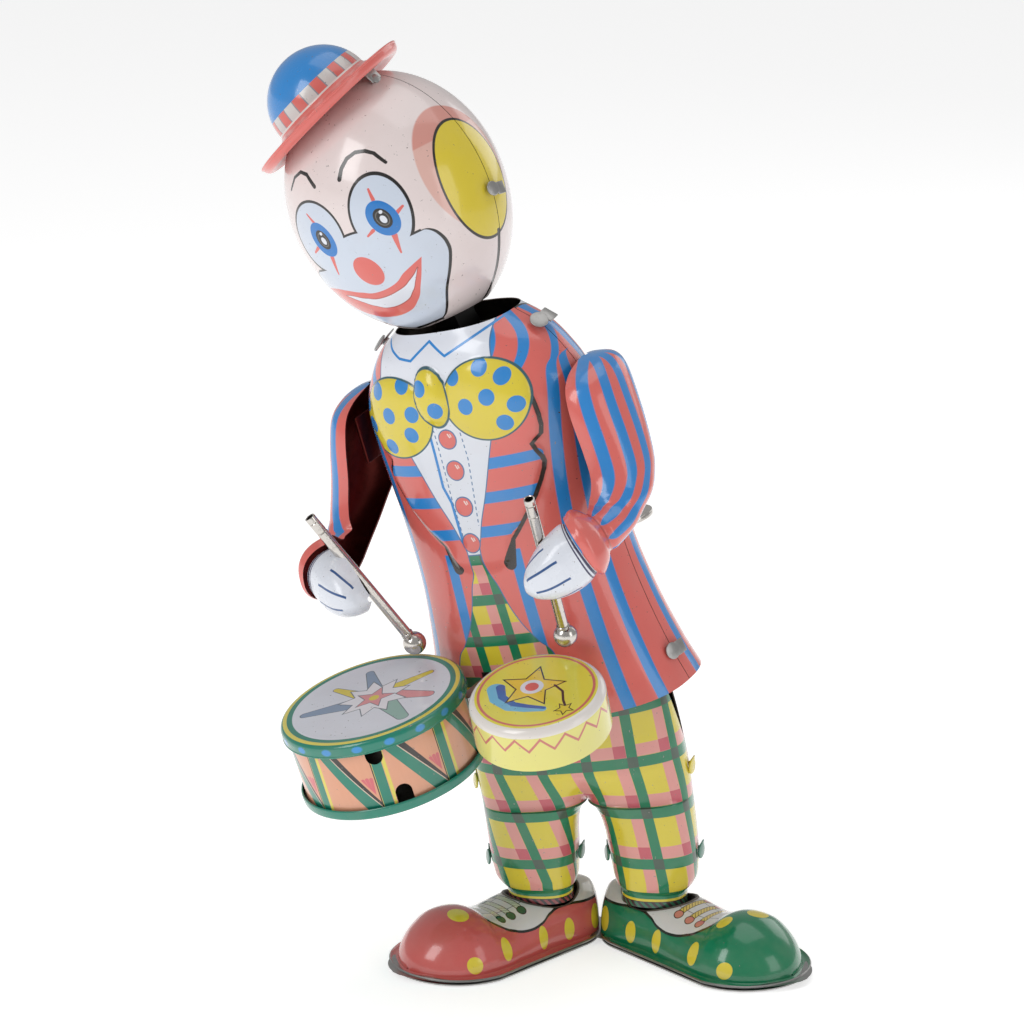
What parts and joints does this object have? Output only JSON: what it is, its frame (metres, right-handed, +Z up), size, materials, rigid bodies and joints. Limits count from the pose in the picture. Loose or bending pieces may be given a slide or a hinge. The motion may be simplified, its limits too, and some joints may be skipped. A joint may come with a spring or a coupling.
{
  "type": "wind-up drumming clown toy",
  "caption": "Wind-up tin clown that stands on splayed shoes, sways at the waist, rocks its head and beats a big and a small drum.",
  "frame": {"origin": "centre of the whole outline, on the floor under the shoes", "axes": "+Z up, -Y the way the shoes and trousers face, +X towards the clown's left"},
  "size_m": [0.1308, 0.0986, 0.2199],
  "materials": {
    "coat_tin": "gloss lithographed tin",
    "trouser_tin": "gloss lithographed tin",
    "red_shoe_tin": "gloss lithographed tin",
    "green_tin": "gloss lithographed tin",
    "face_tin": "gloss lithographed tin",
    "hat_tin": "gloss lithographed tin",
    "glove_tin": "gloss lithographed tin",
    "drum_side_tin": "gloss lithographed tin",
    "drum_yellow_tin": "gloss lithographed tin",
    "bare_tin": "plain tinplate",
    "nickel": "worn nickel plate",
    "blackened": "black oxide",
    "brass": "stamped brass",
    "spring_steel": "blued spring steel"
  },
  "bodies": {
    "base": {"trousers_front": "trouser_tin", "trousers_back": "trouser_tin", "trouser_tabs": "trouser_tin", "shoe_right": "red_shoe_tin", "shoe_left": "green_tin", "sole_right": "bare_tin", "sole_left": "bare_tin", "waist_crossbar": "bare_tin", "waist_pin": "nickel"},
    "torso": {"coat_front": "coat_tin", "coat_back": "coat_tin", "coat_tabs": "nickel", "hip_plate": "bare_tin", "motor_plate_front": "bare_tin", "motor_plate_back": "bare_tin", "motor_pillars": "nickel", "mainspring": "spring_steel", "shoulder_frame": "bare_tin", "lift_yoke": "bare_tin", "drum_bracket": "bare_tin", "big_drum_head": "green_tin", "big_drum_shell": "drum_side_tin", "big_drum_base": "green_tin", "small_drum_cap": "drum_yellow_tin", "small_drum_base": "green_tin", "drum_rivets": "bare_tin"},
    "head": {"head_front": "face_tin", "head_back": "face_tin", "head_tabs": "nickel", "hat": "hat_tin", "hat_tabs": "blackened", "neck_stem": "blackened", "neck_pin": "nickel", "neck_lever": "bare_tin"},
    "right_arm": {"sleeve_right": "coat_tin", "shoulder_plate_right": "bare_tin", "glove_right": "glove_tin", "stick_right": "nickel", "stick_ball_right": "nickel", "shoulder_pin_right": "nickel", "arm_lever_right": "bare_tin"},
    "left_arm": {"sleeve_left": "coat_tin", "shoulder_plate_left": "bare_tin", "glove_left": "glove_tin", "stick_left": "nickel", "stick_ball_left": "nickel", "shoulder_pin_left": "nickel", "arm_lever_left": "bare_tin"},
    "drive": {"winding_arbor": "bare_tin", "great_wheel": "brass", "ratchet_wheel": "bare_tin", "click": "bare_tin", "key": "nickel"},
    "second_shaft": {"second_arbor": "bare_tin", "second_wheel": "brass"},
    "crank_shaft": {"crank_arbor": "bare_tin", "third_wheel": "brass", "crank_disc": "bare_tin"},
    "governor": {"governor_arbor": "bare_tin", "governor_disc": "spring_steel"}
  },
  "joints": [
    {"name": "waist_sway", "type": "hinge", "parent": "base", "child": "torso", "pos_m": [0.0053, 0.0098, 0.066], "axis": [0.4384, 0.8988, 0], "range_deg": [0, 16]},
    {"name": "head_rock", "type": "hinge", "parent": "torso", "child": "head", "pos_m": [-0.01804, 0.00605, 0.14973], "axis": [0.4013, 0.9032, 0.1524], "range_deg": [0, 22]},
    {"name": "right_arm_lift", "type": "hinge", "parent": "torso", "child": "right_arm", "pos_m": [-0.03207, 0.01515, 0.13272], "axis": [-0.8758, 0.4271, -0.225], "range_deg": [0, 30]},
    {"name": "left_arm_lift", "type": "hinge", "parent": "torso", "child": "left_arm", "pos_m": [0.00297, -0.00194, 0.14172], "axis": [-0.8758, 0.4271, -0.225], "range_deg": [0, 30]},
    {"name": "winding", "type": "hinge", "parent": "torso", "child": "drive", "pos_m": [-0.00221, 0.00859, 0.09295], "axis": [0.4013, 0.9032, 0.1524], "continuous": true},
    {"name": "second_spin", "type": "hinge", "parent": "torso", "child": "second_shaft", "pos_m": [0.00212, 0.00415, 0.10791], "axis": [0.4013, 0.9032, 0.1524], "continuous": true},
    {"name": "crank_spin", "type": "hinge", "parent": "torso", "child": "crank_shaft", "pos_m": [-0.00814, 0.00815, 0.1112], "axis": [0.4013, 0.9032, 0.1524], "continuous": true},
    {"name": "governor_spin", "type": "hinge", "parent": "torso", "child": "governor", "pos_m": [-0.01449, 0.01023, 0.11561], "axis": [0.4013, 0.9032, 0.1524], "continuous": true}
  ],
  "couplings": [
    {"joint": "left_arm_lift", "follows": "right_arm_lift", "ratio": 1},
    {"joint": "winding", "follows": "crank_spin", "ratio": 0.063131},
    {"joint": "second_spin", "follows": "crank_spin", "ratio": -0.27778},
    {"joint": "governor_spin", "follows": "crank_spin", "ratio": -3}
  ]
}
